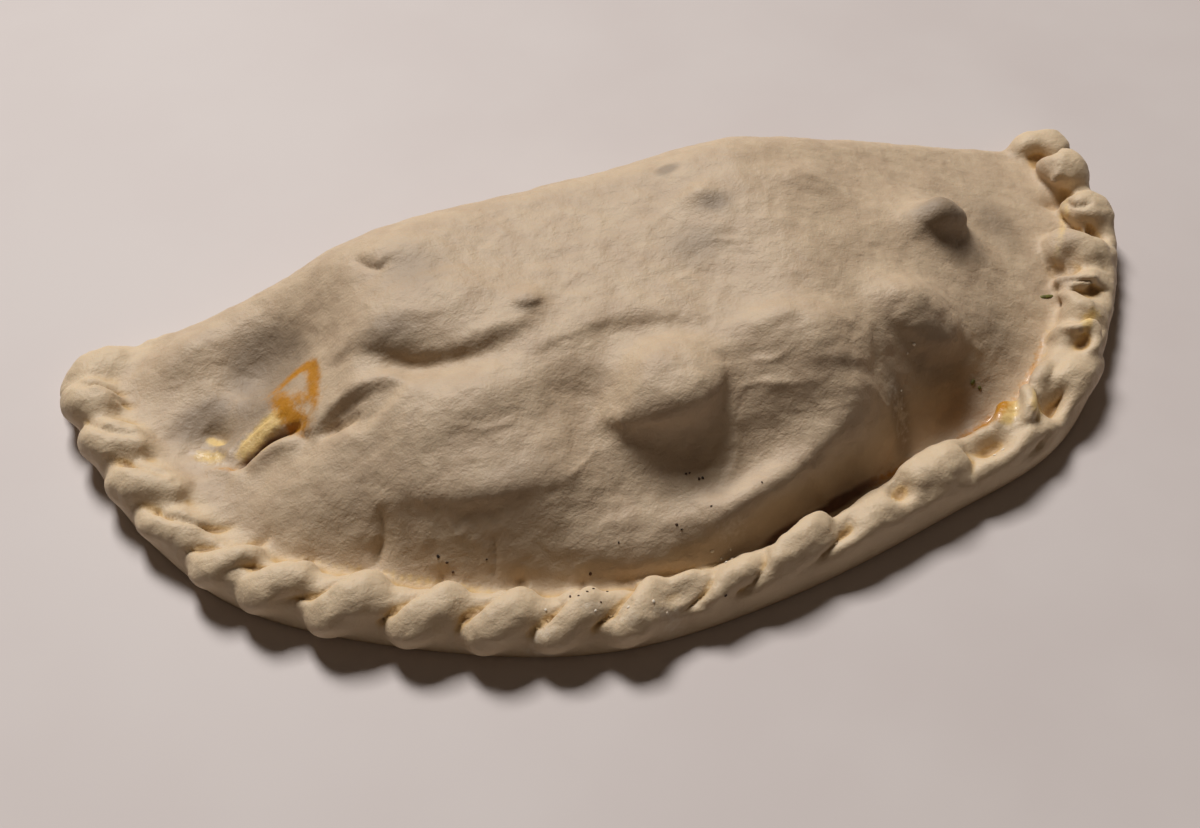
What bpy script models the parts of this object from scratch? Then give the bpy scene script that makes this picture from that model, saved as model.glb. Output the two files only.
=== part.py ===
"""An unbaked calzone: a round of pizza dough folded in half over its filling, with a rolled and crimped rim.

The straight fold is at the back (+Y) and the crimped rim runs round the front, from the left tip (-X) to the
right tip (+X). The dough rests on its flat underside at z = 0. Lengths are in metres; the tables at the top
are in millimetres and are multiplied by MM where they are used.
"""

import math

import bmesh
import bpy
import numpy as np
from mathutils import Matrix, Vector

MM = 0.001

# ---- Driving dimensions -------------------------------------------------------------------------------------

CORE_INWARD = 0.0078  # distance of the rolled rim's middle line from the rim's outer edge
CORE_HALF_WIDTH = 0.0077
CORE_HALF_HEIGHT = 0.0062
CORE_LEVEL = 0.0040  # height of that middle line above the table
CRIMP_LEVEL = 0.0044  # height of the line that the crimps wrap around
CRIMP_RISE = 0.0036  # how far over that line a crimp's own middle passes
ROLL_FULLNESS = 3.0  # above 2, a roll keeps its girth further towards its ends
CRIMP_FLATNESS = 0.84  # a crimp's height over its width
FOLD_ROUND = 0.55  # how far in front of the back fold its top has curved over, as a share of the dome's height
FOLD_TUCK = 0.18  # how far the back fold overhangs its contact with the table, as a share of that height
FOLD_LEVEL = 0.42  # height of the back fold's outermost line, as a share of that height
CREASE_HEIGHT = 0.0035  # height of the dome's skin where it meets the rim
CROWN_Y = 0.035  # the dome is highest along this line
CROWN_FALL = 0.24  # share of its height lost 90 mm in front of that line
SHOULDER_CURVE = 1.4  # above 1, the shoulder starts off level and then rises
MIDDLE = (0.0, 0.012)  # place in plan from which the dome's skin is spread out to its edge
BELOW_TABLE = 0.0030  # how far the shapes reach below the table before the underside is cut flat
BLOCK = (0.4, 0.3, 0.04)  # size of the block that makes that cut
GRAIN = 0.0016  # size of the cells in which the shapes are joined
TRIANGLES = 9600

# Outer edge of the rim in plan, from the left tip round the front to the right tip (x, y).
RIM_EDGE = (
    (-139, 66),
    (-150, 54),
    (-147, 30),
    (-137, 0),
    (-116, -31),
    (-77, -55.5),
    (-36, -69.5),
    (8, -68),
    (56, -57.5),
    (91, -43.5),
    (120, -18),
    (143, 14),
    (151, 42),
    (149, 67),
)

# Outermost line of the back fold in plan (x, y).
BACK_FOLD = ((-136, 63), (-100, 66), (-50, 69), (0, 70), (50, 70), (100, 68), (145, 64))

# Height of the dome along its crown (x, height).
CROWN = (
    (-150, 9),
    (-128, 11.5),
    (-110, 14),
    (-97, 18),
    (-84, 24),
    (-70, 32),
    (-50, 35.5),
    (-20, 36),
    (10, 37.5),
    (35, 41),
    (55, 36),
    (75, 28),
    (95, 20.5),
    (115, 14.5),
    (132, 12),
    (150, 9),
)

# Distance of the crease between rim and dome from the rim's outer edge (distance along the edge, distance inward).
CREASE = ((0, 15.5), (220, 15.5), (260, 17.5), (310, 18), (340, 17), (466, 16))

# Width over which the dome's shoulder rises from the rim (distance along the rim's edge, width).
SHOULDER = ((0, 12), (60, 18), (130, 18), (180, 13), (230, 8), (300, 6), (350, 9), (420, 17), (466, 14))

# Lumps (+) and hollows (-) where the dough drapes over the filling: (x, y, radius, radius across, turn in
# degrees, height, roundness). A roundness of 1 is a peaked tent and 2 a smooth hump.
LUMPS = (
    (-7, -19, 14, 11, 10, 8.0, 1.6),
    (12, -32, 12, 9, 30, -3.0, 2.0),
    (28, -12, 18, 8, 5, 5.5, 1.6),
    (82, 14, 10, 9, 0, 9.0, 1.8),
    (62, -4, 11, 9, 0, 7.0, 1.6),
    (66, -26, 14, 9, 20, -4.0, 2.0),
    (47, 30, 8, 6, 0, 3.0, 2.0),
    (22, 12, 14, 12, 0, -1.5, 2.0),
    (-62, 46, 16, 9, 0, 4.5, 1.8),
    (-58, 24, 22, 9, 5, -5.5, 1.8),
    (-32, 23, 7, 5, 10, 3.5, 2.0),
    (-95, 31, 11, 12, 0, -5.0, 2.0),
    (-76, 22, 9, 5, 20, 3.0, 1.6),
    (-82, 12, 9, 4, 30, -5.5, 1.6),
    (-80, 0, 26, 7, 10, 6.0, 1.8),
    (-92, -16, 20, 12, -20, 4.0, 2.0),
    (-60, -32, 12, 9, 0, -4.0, 2.0),
    (-46, 6, 18, 7, 25, 4.0, 1.6),
    (-28, -34, 12, 8, 20, -2.5, 2.0),
    (2, -42, 18, 8, 20, 6.0, 1.6),
    (36, -38, 9, 8, 40, 5.5, 1.6),
)

# Crimps: rolls of dough wrapped slantwise over the rim, from its outer side up and in. (start and end along the
# edge; start and end angle around the rim, 0 at its outer side and 90 on top; inward place of the line it wraps
# around; reach to either side of that line; radius at the start; radius at the end.)
CRIMPS = (
    (21, 35, 20, 80, 9, 4, 6.2, 5.4),
    (37, 57, 10, 140, 9.5, 5, 6.6, 6.2),
    (55, 77, 10, 140, 9.5, 5, 6.4, 6.0),
    (71, 91, 0, 120, 8, 4.5, 5.8, 4.8),
    (84, 107, 10, 140, 8.5, 5.5, 5.6, 5.0),
    (97, 124, 10, 140, 8.5, 5.5, 5.6, 5.0),
    (111, 138, 10, 140, 8.5, 5.5, 5.2, 5.0),
    (126, 157, 10, 140, 8.5, 5.5, 5.2, 5.0),
    (142, 172, 10, 140, 8.5, 5.5, 5.2, 5.0),
    (160, 190, 10, 140, 8.5, 5.5, 5.2, 5.0),
    (180, 202, 10, 130, 8.5, 5, 4.8, 4.8),
    (193, 216, 10, 130, 8, 5, 5.0, 4.6),
    (208, 227, 70, 130, 8, 5, 4.6, 4.6),
    (212, 242, 10, 130, 8, 4.6, 5.2, 4.8),
    (227, 254, 10, 120, 7.5, 4, 5.0, 4.6),
    (238, 267, 10, 120, 7.2, 3.6, 5.2, 4.8),
    (252, 286, 10, 120, 7.6, 3.8, 5.6, 5.2),
    (281, 307, 80, 100, 9, 4, 6.0, 6.4),
    (288, 334, 0, 10, 8, 3.4, 5.2, 5.6),
    (328, 332, 150, 30, 9.5, 4.6, 4.4, 4.8),
    (338, 366, 70, 20, 8, 3.6, 5.6, 6.6),
    (362, 368, 150, 20, 10, 4.6, 4.6, 5.6),
    (372, 378, 140, 10, 10, 4.4, 5.4, 6.2),
    (384, 392, 160, 10, 11.7, 5.3, 5.2, 6.4),
    (400, 406, 165, 10, 13.8, 6.3, 7.0, 7.8),
    (419, 426, 150, 10, 11, 3, 7.0, 8.2),
    (430, 435, 150, 20, 11, 4, 4.8, 6.2),
    (443, 446, 150, 10, 10.5, 3, 6.4, 7.4),
)

# Pillows of dough at the two tips, where the rim's folds end (x, y, height of the middle, long radius, short
# radius, radius upward, turn in degrees).
PILLOWS = (
    (-137, 54, 4, 11, 9, 7, 25),
    (146, 60, 5, 7.5, 6.5, 6.5, 60),
    (141, 62, 5, 8, 5.5, 6.0, -5),
)

# Pinches: rounded pits that the fingers left between the crimps (along, inward, radius along, radius across,
# depth).
PINCHES = (
    (216, 7, 7, 5, 2.5),
    (262, 7, 4, 3, 2.5),
    (283, 11, 4, 3, 3.0),
    (307, 7.5, 7, 4, 4.5),
    (337, 8, 6, 4.5, 5.0),
    (361, 9.5, 3.5, 3, 3.0),
    (394, 17.5, 5, 4, 2.0),
    (411, 12, 4, 5, 3.5),
    (430, 19, 4, 3, 2.5),
    (453, 13, 4, 3, 2.5),
)

DOME_SIDES = 260
DOME_RINGS = 130
CORE_SIDES = 20
CORE_RINGS = 200
CRIMP_SIDES = 20
CRIMP_RINGS = 16
DOUGH_COLOUR = (0.58, 0.48, 0.36, 1.0)


# ---- Curves in plan -----------------------------------------------------------------------------------------


def smooth_line(points, samples):
    """Points evenly spread along a smooth curve through the given ones."""
    known = np.array(points, float)
    known = np.vstack([2 * known[0] - known[1], known, 2 * known[-1] - known[-2]])
    t = np.linspace(0, 1, 40, endpoint=False)[:, None]
    pieces = []
    for a, b, c, d in zip(known[:-3], known[1:-2], known[2:-1], known[3:]):
        bend = (2 * a - 5 * b + 4 * c - d) * t**2 + (3 * b - a - 3 * c + d) * t**3
        pieces.append(0.5 * (2 * b + (c - a) * t + bend))
    dense = np.vstack([*pieces, known[-2:-1]])
    reach = np.r_[0, np.cumsum(np.linalg.norm(np.diff(dense, axis=0), axis=1))]
    even = np.linspace(0, reach[-1], samples)
    return np.stack([np.interp(even, reach, column) for column in dense.T], axis=1)


def smooth_value(pairs, at):
    """The value at each place of a smooth curve through (place, value) pairs in millimetres, in metres."""
    line = smooth_line(pairs, 400) * MM
    return np.interp(at, line[:, 0], line[:, 1])


class Edge:
    """The rim's outer edge: places are measured along it and inward from it."""

    def __init__(self, points):
        self.line = smooth_line(points, 900) * MM
        self.along = np.r_[0, np.cumsum(np.linalg.norm(np.diff(self.line, axis=0), axis=1))]
        way = np.gradient(self.line, axis=0)
        way /= np.linalg.norm(way, axis=1)[:, None]
        self.way = way
        self.inward = np.stack([-way[:, 1], way[:, 0]], axis=1)

    def plan(self, along, inward):
        """The places in plan that far along the edge and inward from it."""
        at = np.stack([np.interp(along, self.along, column) for column in self.line.T], axis=-1)
        into = np.stack([np.interp(along, self.along, column) for column in self.inward.T], axis=-1)
        return at + into * np.expand_dims(inward, -1)

    def measure(self, plan):
        """How far along the edge each place in plan lies, and how far inward from it."""
        along = np.empty(len(plan))
        inward = np.empty(len(plan))
        for start in range(0, len(plan), 4000):
            part = slice(start, start + 4000)
            away = plan[part, None] - self.line[None]
            best = np.einsum("ijk,ijk->ij", away, away).argmin(axis=1)
            offset = plan[part] - self.line[best]
            along[part] = self.along[best] + np.einsum("ij,ij->i", offset, self.way[best])
            inward[part] = np.einsum("ij,ij->i", offset, self.inward[best])
        return along, inward


EDGE = Edge(RIM_EDGE)


# ---- Dome ---------------------------------------------------------------------------------------------------


def hump(plan, x, y, radius, across, turn, height, roundness):
    """Height of a lump at each place in plan."""
    turn = math.radians(turn)
    away = plan - np.array((x, y)) * MM
    u = (away[:, 0] * math.cos(turn) + away[:, 1] * math.sin(turn)) / (radius * MM)
    v = (away[:, 1] * math.cos(turn) - away[:, 0] * math.sin(turn)) / (across * MM)
    return height * MM * np.exp(-((u * u + v * v) ** (roundness / 2)))


def skin_height(plan):
    """Height of the dome's skin above the table at each place in plan."""
    along, inward = EDGE.measure(plan)
    fall = 1 - CROWN_FALL * ((plan[:, 1] - CROWN_Y) / 0.09) ** 2
    crown = smooth_value(CROWN, plan[:, 0]) * np.where(plan[:, 1] < CROWN_Y, fall, 1)
    width = smooth_value(SHOULDER, along)
    rise = np.clip((inward - smooth_value(CREASE, along)) / width, 0, None)
    height = CREASE_HEIGHT + (crown - CREASE_HEIGHT) * (1 - np.exp(-(rise**SHOULDER_CURVE)))
    for lump in LUMPS:
        height = height + hump(plan, *lump) * (1 - np.exp(-rise))
    return height


def dome(bm):
    """The filled dome: a ball pulled out to the half-moon plan, its top lifted to the skin's height."""
    ball = bmesh.ops.create_uvsphere(bm, u_segments=DOME_SIDES, v_segments=DOME_RINGS, radius=1)["verts"]
    co = np.array([vertex.co for vertex in ball])
    rim_side = EDGE.plan(EDGE.along[::30], CORE_INWARD)
    fold_side = smooth_line(BACK_FOLD, 60)[::-1] * MM
    border = np.vstack([rim_side, fold_side[1:-1]])
    bearing = np.arctan2(*(border - MIDDLE).T[::-1])
    order = np.argsort(bearing)
    turn = np.arctan2(co[:, 1], co[:, 0])
    edge = [np.interp(turn, bearing[order], column[order], period=math.tau) for column in border.T]
    edge = np.stack(edge, axis=1)
    tilt = np.arcsin(np.clip(co[:, 2], -1, 1)) / (math.pi / 2)
    plan = MIDDLE + (edge - MIDDLE) * np.sin((1 - np.abs(tilt)) * math.pi / 2)[:, None]
    behind = smooth_value(BACK_FOLD, plan[:, 0]) - plan[:, 1]
    crown = smooth_value(CROWN, plan[:, 0])
    height = skin_height(plan)
    at_fold = edge[:, 1] > fold_side[:, 1].min() - MM
    level = np.where(at_fold, FOLD_LEVEL * crown, CORE_LEVEL)
    over = np.sqrt(1 - (1 - np.clip(behind / (FOLD_ROUND * crown), 0, 1)) ** 2)
    under = np.sqrt(1 - (1 - np.clip(behind / (FOLD_TUCK * crown), 0, 1)) ** 2)
    z = np.where(tilt > -1e-6, level + (height - level) * over, level - (level + BELOW_TABLE) * under)
    for vertex, (x, y), up in zip(ball, plan, z):
        vertex.co = (x, y, up)


# ---- Rim ----------------------------------------------------------------------------------------------------


def roll(bm, sides, rings, spine, half_width, half_height):
    """A roll of dough along a spine with rounded ends; its half sizes are given for places along it."""
    ball = bmesh.ops.create_uvsphere(bm, u_segments=sides, v_segments=rings, radius=1)["verts"]
    co = np.array([vertex.co for vertex in ball])
    share = np.arcsin(np.clip(co[:, 2], -1, 1)) / math.pi + 0.5
    turn = np.arctan2(co[:, 1], co[:, 0])
    girth = (1 - np.abs(2 * share - 1) ** ROLL_FULLNESS) ** 0.45
    places = np.linspace(0, 1, len(spine))
    at = np.stack([np.interp(share, places, column) for column in spine.T], axis=1)
    way = np.gradient(spine, axis=0)
    way = np.stack([np.interp(share, places, column) for column in way.T], axis=1)
    way /= np.linalg.norm(way, axis=1)[:, None]
    side = np.cross(way, (0, 0, 1))
    side /= np.linalg.norm(side, axis=1)[:, None]
    up = np.cross(side, way)
    wide = (np.cos(turn) * girth * half_width(share))[:, None]
    high = (np.sin(turn) * girth * half_height(share))[:, None]
    for vertex, place in zip(ball, at + side * wide + up * high):
        vertex.co = place


def rim_core(bm):
    """The plain roll under the crimps, all along the rim."""
    along = np.linspace(CORE_INWARD / 2, EDGE.along[-1] - CORE_INWARD / 2, CORE_RINGS)
    spine = np.column_stack([EDGE.plan(along, CORE_INWARD + 0 * along), CORE_LEVEL + 0 * along])
    roll(bm, CORE_SIDES, CORE_RINGS, spine, lambda share: CORE_HALF_WIDTH, lambda share: CORE_HALF_HEIGHT)


def crimp(bm, start, end, start_angle, end_angle, middle, reach, radius, end_radius):
    """One roll wrapped slantwise over the rim."""
    share = np.linspace(0, 1, 24)
    angle = np.radians(start_angle + (end_angle - start_angle) * share)
    inward = (middle - reach * np.cos(angle)) * MM
    along = (start + (end - start) * share) * MM
    spine = np.column_stack([EDGE.plan(along, inward), CRIMP_LEVEL + CRIMP_RISE * np.sin(angle)])

    def half_width(at):
        return (radius + (end_radius - radius) * at) * MM

    roll(bm, CRIMP_SIDES, CRIMP_RINGS, spine, half_width, lambda at: CRIMP_FLATNESS * half_width(at))


def pillow(bm, x, y, level, long, short, thick, turn):
    """One soft ball of dough."""
    ball = bmesh.ops.create_uvsphere(bm, u_segments=CRIMP_SIDES, v_segments=CRIMP_RINGS, radius=MM)["verts"]
    bmesh.ops.scale(bm, verts=ball, vec=(long, short, thick))
    bmesh.ops.rotate(bm, verts=ball, matrix=Matrix.Rotation(math.radians(turn), 3, "Z"))
    bmesh.ops.translate(bm, verts=ball, vec=Vector((x, y, level)) * MM)


# ---- The calzone --------------------------------------------------------------------------------------------


def dough():
    """The dough's material."""
    material = bpy.data.materials.new("dough")
    material.use_nodes = True
    shader = material.node_tree.nodes["Principled BSDF"]
    shader.inputs["Base Color"].default_value = DOUGH_COLOUR
    shader.inputs["Roughness"].default_value = 0.55
    shader.inputs["Metallic"].default_value = 0.0
    return material


def new_object(name, bm):
    """A scene object made from the bmesh."""
    mesh = bpy.data.meshes.new(name)
    bm.to_mesh(mesh)
    bm.free()
    made = bpy.data.objects.new(name, mesh)
    bpy.context.scene.collection.objects.link(made)
    return made


def pinch(mesh):
    """Press the finger pits into the rim."""
    co = np.array([vertex.co for vertex in mesh.vertices])
    normal = np.array([vertex.normal for vertex in mesh.vertices])
    along, inward = EDGE.measure(co[:, :2])
    push = np.zeros(len(co))
    for at, across, long, wide, depth in PINCHES:
        u = (along - at * MM) / (long * MM)
        v = (inward - across * MM) / (wide * MM)
        push += depth * MM * np.exp(-(u * u + v * v))
    push *= np.clip(normal[:, 2], 0, 1)
    for vertex, place in zip(mesh.vertices, co - normal * push[:, None]):
        vertex.co = place


def join(made):
    """Join the overlapping shapes into one skin, as the object's plain mesh."""
    remesh = made.modifiers.new("join", "REMESH")
    remesh.mode = "VOXEL"
    remesh.voxel_size = GRAIN
    smooth = made.modifiers.new("smooth", "SMOOTH")
    smooth.factor = 0.5
    smooth.iterations = 2
    evaluated = made.evaluated_get(bpy.context.evaluated_depsgraph_get())
    mesh = bpy.data.meshes.new_from_object(evaluated)
    made.modifiers.clear()
    made.data = mesh


def fill_pockets(mesh):
    """Fill any pocket sealed between the folds, by keeping only the outermost skin."""
    bm = bmesh.new()
    bm.from_mesh(mesh)
    waiting = set(bm.verts)
    skins = []
    while waiting:
        skin = set()
        front = [waiting.pop()]
        while front:
            vertex = front.pop()
            skin.add(vertex)
            near = {edge.other_vert(vertex) for edge in vertex.link_edges} & waiting
            waiting -= near
            front.extend(near)
        skins.append(skin)
    outermost = max(skins, key=len)
    bmesh.ops.delete(bm, geom=[vertex for vertex in bm.verts if vertex not in outermost], context="VERTS")
    bm.to_mesh(mesh)
    bm.free()


def centre(mesh):
    """Move the mesh so that its outline in plan is centred on the origin."""
    co = np.array([vertex.co for vertex in mesh.vertices])
    middle = (co.min(axis=0) + co.max(axis=0)) / 2
    mesh.transform(Matrix.Translation((-middle[0], -middle[1], 0)))


def under_table():
    """A hidden block whose top is the table, to cut the underside flat."""
    bm = bmesh.new()
    bmesh.ops.create_cube(bm, size=1)
    bmesh.ops.scale(bm, verts=bm.verts, vec=BLOCK)
    bmesh.ops.translate(bm, verts=bm.verts, vec=(0, 0, -BLOCK[2] / 2))
    block = new_object("under_table", bm)
    block.hide_render = True
    block.display_type = "WIRE"
    return block


def calzone():
    """The whole calzone as one closed solid."""
    bm = bmesh.new()
    dome(bm)
    rim_core(bm)
    for fold in CRIMPS:
        crimp(bm, *fold)
    for tip in PILLOWS:
        pillow(bm, *tip)
    made = new_object("calzone", bm)
    join(made)
    fill_pockets(made.data)
    pinch(made.data)
    centre(made.data)
    thin = made.modifiers.new("thin", "DECIMATE")
    thin.ratio = TRIANGLES / (2 * len(made.data.polygons))
    cut = made.modifiers.new("underside", "BOOLEAN")
    cut.operation = "DIFFERENCE"
    cut.solver = "EXACT"
    cut.object = under_table()
    made.data.materials.append(dough())
    made.data.shade_smooth()
    return made


def main():
    for old in list(bpy.data.objects):
        bpy.data.objects.remove(old)
    calzone()


main()
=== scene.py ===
"""An unbaked calzone on a pale table: raw pizza dough folded in half over a lumpy filling.

The dough is shaped as a dome, a rolled rim and the crimps that wrap it, joined into one skin. The skin is then
worked over as dough is: pinched, creased, wrinkled and torn. Lengths are in metres; the tables are in
millimetres, multiplied by MM where they are used.
"""

import math

import bmesh
import bpy
import numpy as np
from mathutils import Matrix, Vector, noise

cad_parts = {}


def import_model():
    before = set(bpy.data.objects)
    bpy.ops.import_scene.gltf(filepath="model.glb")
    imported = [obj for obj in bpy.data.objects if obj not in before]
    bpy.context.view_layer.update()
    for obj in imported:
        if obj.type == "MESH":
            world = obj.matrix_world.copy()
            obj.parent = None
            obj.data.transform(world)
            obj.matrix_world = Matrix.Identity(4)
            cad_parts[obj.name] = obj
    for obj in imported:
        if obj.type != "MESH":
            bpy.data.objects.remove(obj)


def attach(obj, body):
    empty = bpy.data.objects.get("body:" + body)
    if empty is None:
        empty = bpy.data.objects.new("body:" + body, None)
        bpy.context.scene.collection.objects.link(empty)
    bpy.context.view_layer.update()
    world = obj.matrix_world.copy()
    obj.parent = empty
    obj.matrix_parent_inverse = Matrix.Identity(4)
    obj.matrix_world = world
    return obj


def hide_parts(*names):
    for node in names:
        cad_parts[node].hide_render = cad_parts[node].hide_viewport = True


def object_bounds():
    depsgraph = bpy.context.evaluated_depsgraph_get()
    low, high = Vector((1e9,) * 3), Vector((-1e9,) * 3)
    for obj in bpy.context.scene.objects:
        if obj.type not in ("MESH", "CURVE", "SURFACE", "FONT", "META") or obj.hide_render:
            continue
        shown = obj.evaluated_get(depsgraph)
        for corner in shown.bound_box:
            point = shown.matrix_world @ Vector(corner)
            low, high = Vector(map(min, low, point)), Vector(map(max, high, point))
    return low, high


MM = 0.001

# ---- Shape of the dough -------------------------------------------------------------------------------------

CORE_INWARD = 0.0078  # distance of the rolled rim's middle line from the rim's outer edge
CORE_SQUARENESS = 0.65  # below 1, the roll is fuller in its corners than an ellipse
CORE_LEVEL = 0.0046  # height of that middle line above the table
CRIMP_LEVEL = 0.0055  # height of the line that the crimps wrap around
CRIMP_RISE = 0.0038  # how far over that line a crimp's own middle passes
ROLL_FULLNESS = 3.0  # above 2, a roll keeps its girth further towards its ends
CRIMP_FLATNESS = 0.8  # a crimp's height over its width
FOLD_ROUND = 0.55  # how far in front of the back fold its top has curved over, as a share of the dome's height
FOLD_TUCK = 0.18  # how far the back fold overhangs its contact with the table, as a share of that height
FOLD_LEVEL = 0.42  # height of the back fold's outermost line, as a share of that height
CROWN_Y = 0.035  # the dome is highest along this line
CROWN_FALL = 0.40  # share of its height lost 90 mm in front of that line
SHOULDER_INSIDE = 0.015  # that width well inside the rim
SHOULDER_CURVE = 1.4  # above 1, the shoulder starts off level and then rises
MIDDLE = (0.0, 0.012)  # place in plan from which the dome's skin is spread out to its edge
BELOW_TABLE = 0.0030  # how far the shapes reach below the table before the underside is cut flat
GRAIN = 0.0009  # size of the cells in which the shapes are joined

# Outer edge of the rim in plan, from the left tip round the front to the right tip (x, y).
RIM_EDGE = (
    (-139, 66),
    (-150, 54),
    (-147, 30),
    (-137, 0),
    (-116, -31),
    (-77, -55.5),
    (-36, -69.5),
    (8, -68),
    (56, -57.5),
    (93, -46),
    (121.5, -19.5),
    (144, 13),
    (151, 42),
    (149, 67),
)

# Outermost line of the back fold in plan (x, y).
BACK_FOLD = ((-136, 63), (-100, 66), (-50, 69), (0, 70), (50, 70), (100, 68), (145, 64))

# Height of the dome along its crown (x, height).
CROWN = (
    (-150, 9),
    (-128, 11.5),
    (-110, 14),
    (-97, 18),
    (-84, 24),
    (-70, 32),
    (-50, 35.5),
    (-20, 36),
    (10, 37.5),
    (35, 41),
    (55, 36),
    (75, 28),
    (95, 20.5),
    (115, 14.5),
    (132, 12),
    (150, 9),
)

# Distance of the crease between rim and dome from the rim's outer edge (distance along the edge, distance inward).
CREASE = (
    (0, 15.5),
    (90, 15.5),
    (130, 14.8),
    (200, 14.8),
    (225, 14),
    (234, 13.5),
    (242, 15),
    (250, 16.5),
    (262, 17.5),
    (275, 18.5),
    (310, 18.5),
    (340, 17),
    (466, 16),
)

# Half width of the plain roll under the crimps (distance along the edge, half width).
CORE_HALF_WIDTHS = ((0, 7.7), (60, 7.2), (90, 6.3), (210, 6.3), (232, 5.8), (265, 5.8), (290, 7.2), (320, 7.7), (466, 8))

# Half height of that roll (distance along the edge, half height).
CORE_HALF_HEIGHTS = ((0, 7.4), (370, 7.4), (400, 8.8), (466, 8.8))

# Height of the dome's skin at that crease (distance along the edge, height).
CREASE_LEVEL = (
    (0, 9),
    (60, 9),
    (110, 8),
    (160, 7.5),
    (210, 7.5),
    (235, 6),
    (258, 4),
    (300, 4),
    (330, 6),
    (380, 8),
    (430, 8),
    (466, 6),
)

# Width over which the dome's shoulder rises from the rim (distance along the rim's edge, width).
SHOULDER = (
    (0, 12),
    (60, 18),
    (100, 18),
    (130, 14),
    (165, 11),
    (190, 8),
    (205, 6),
    (215, 4.5),
    (228, 4.5),
    (236, 3),
    (246, 2),
    (275, 2.5),
    (284, 5),
    (292, 10),
    (302, 13),
    (320, 15),
    (350, 14),
    (420, 17),
    (466, 14),
)

# Lumps (+) and hollows (-) where the dough drapes over the filling: (x, y, radius, radius across, turn in
# degrees, height, roundness). A roundness of 1 is a peaked tent and 2 a smooth hump.
LUMPS = (
    (-4, -18, 14, 11, 6, 6.0, 3.0),
    (12, -36, 10, 8, 30, -3.0, 2.0),
    (30, -14, 18, 8, -8, 4.5, 2.4),
    (29, -41, 17, 10, 0, -5.0, 3.0),
    (-25, -15, 9, 8, 0, -3.0, 2.0),
    (-27, -27, 9, 8, 0, -3.0, 2.0),
    (-20, -50, 10, 6, 0, -2.0, 2.0),
    (24, -31, 12, 5, -5, -1.5, 2.0),
    (86, 20, 11, 8, 10, 11.0, 1.2),
    (101, 22, 7, 12, 20, -3.0, 2.0),
    (64, -11, 12, 9, 0, 7.5, 2.0),
    (72, -29, 18, 6, 28, -2.5, 2.0),
    (53, 37, 7, 6, 0, 3.0, 1.8),
    (23, 37, 5, 4, 0, 1.6, 2.0),
    (22, 12, 14, 12, 0, -1.5, 2.0),
    (-62, 44, 16, 9, 0, 3.5, 1.8),
    (-56, 26, 20, 9, -5, 2.5, 2.6),
    (-61, 9, 17, 6, -20, -4.0, 2.0),
    (-31, 17, 4.5, 4, 0, 1.8, 1.8),
    (-95, 36, 13, 11, 0, -7.0, 2.2),
    (-114, 50, 12, 8, 10, 4.0, 2.0),
    (-114, 20, 13, 9, 0, -4.0, 2.0),
    (-76, 14, 8, 6, 20, 3.0, 1.6),
    (-80, -3, 24, 6, 12, 2.0, 1.8),
    (-94, -15, 17, 12, -20, 4.0, 2.2),
    (-50, -6, 22, 9, 14, 1.5, 2.2),
    (-18, -44, 25, 13, 3, -8.0, 3.0),
    (-30, -50, 15, 7, 4, 2.5, 2.8),
    (-12, -52, 13, 6.5, 10, 2.5, 2.6),
    (8, -40, 14, 9, 10, -2.2, 3.0),
)

# Crimps: rolls of dough wrapped slantwise over the rim, from its outer side up and in. (start and end along the
# edge; start and end angle around the rim, 0 at its outer side and 90 on top; inward place of the line it wraps
# around; reach to either side of that line; radius at the start; radius at the end.)
CRIMPS = (
    (22, 38, 10, 130, 9.5, 4.5, 7.4, 6.8),
    (37, 57, 10, 140, 9.5, 5, 7.4, 6.8),
    (55, 77, 10, 140, 9.5, 5, 7.2, 6.6),
    (71, 91, 0, 120, 8, 4.5, 5.8, 4.8),
    (94, 110, -5, 140, 7.6, 5.2, 6.2, 5.6),
    (109, 126, -5, 140, 7.6, 5.2, 6.8, 6.0),
    (127, 145, -10, 140, 7.6, 5.2, 8.0, 6.8),
    (147, 164, -10, 140, 7.6, 5.2, 7.6, 6.6),
    (165, 182, -10, 140, 7.6, 5.2, 7.6, 6.4),
    (181, 198, -10, 140, 7.6, 5.2, 6.8, 5.8),
    (198, 217, -10, 135, 7.4, 4.8, 7.0, 5.8),
    (208, 227, 70, 120, 7, 5, 4.4, 4.4),
    (212, 242, 10, 110, 7, 3.6, 4.6, 4.4),
    (227, 254, 10, 100, 6.6, 3.2, 4.4, 4.2),
    (238, 267, 10, 95, 6.4, 3, 4.4, 4.2),
    (252, 286, 10, 100, 7, 3.4, 4.8, 5.0),
    (281, 307, 80, 100, 9, 4, 6.0, 6.4),
    (288, 334, 0, 10, 8, 3.4, 5.2, 5.6),
    (328, 332, 150, 30, 9.5, 4.6, 4.4, 4.8),
    (338, 366, 70, 20, 8, 3.6, 5.6, 6.6),
    (362, 368, 150, 20, 10, 4.6, 4.6, 5.6),
    (372, 378, 140, 10, 10, 4.4, 5.4, 6.2),
    (384, 392, 160, 10, 11.7, 5.3, 5.2, 6.4),
    (399, 404, 165, 10, 13.8, 6.3, 9.5, 8.0),
    (419, 424, 140, 10, 11, 4.5, 9.4, 8.4),
    (442, 446, 150, 10, 10.5, 4, 9.0, 8.2),
)

# Pillows of dough at the two tips, where the rim's folds end (x, y, height of the middle, long radius, short
# radius, radius upward, turn in degrees).
PILLOWS = (
    (-138, 55, 3.5, 13, 10, 8, 30),
    (146, 60, 5, 7.5, 6.5, 6.5, 60),
    (141, 62, 5, 8, 5.5, 6.0, -5),
)

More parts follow.
